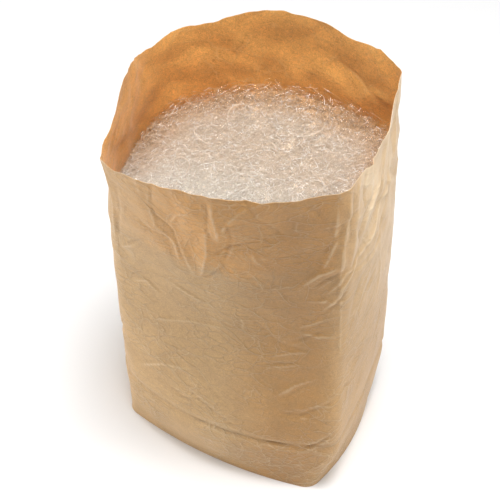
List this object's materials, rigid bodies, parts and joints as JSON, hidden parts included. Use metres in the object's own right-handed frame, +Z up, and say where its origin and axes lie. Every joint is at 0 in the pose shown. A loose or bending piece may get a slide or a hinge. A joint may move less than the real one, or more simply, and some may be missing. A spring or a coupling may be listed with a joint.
{
  "type": "bag of cellophane shred",
  "caption": "Tall block-bottom kraft paper sack standing open with a wavy rim, filled to below its mouth with fine curled cellophane shred for cushioning packed goods",
  "frame": {"origin": "centre of the footprint of the object's outer box, on the surface it stands on", "axes": "+Z up; the wide front panel faces -Y and the narrow right side panel faces +X"},
  "size_m": [0.3974, 0.3422, 0.6843],
  "materials": {
    "kraft_paper": "unbleached, lightly calendered",
    "cellophane": "clear glossy film, cut fine"
  },
  "bodies": {
    "root": {"kraft_bag": "kraft_paper", "cellophane_shred": "cellophane", "loose_strand_01": "cellophane", "loose_strand_02": "cellophane", "loose_strand_03": "cellophane", "loose_strand_04": "cellophane", "loose_strand_05": "cellophane", "loose_strand_06": "cellophane", "loose_strand_07": "cellophane", "loose_strand_08": "cellophane", "loose_strand_09": "cellophane", "loose_strand_10": "cellophane", "loose_strand_11": "cellophane", "loose_strand_12": "cellophane"}
  },
  "joints": []
}
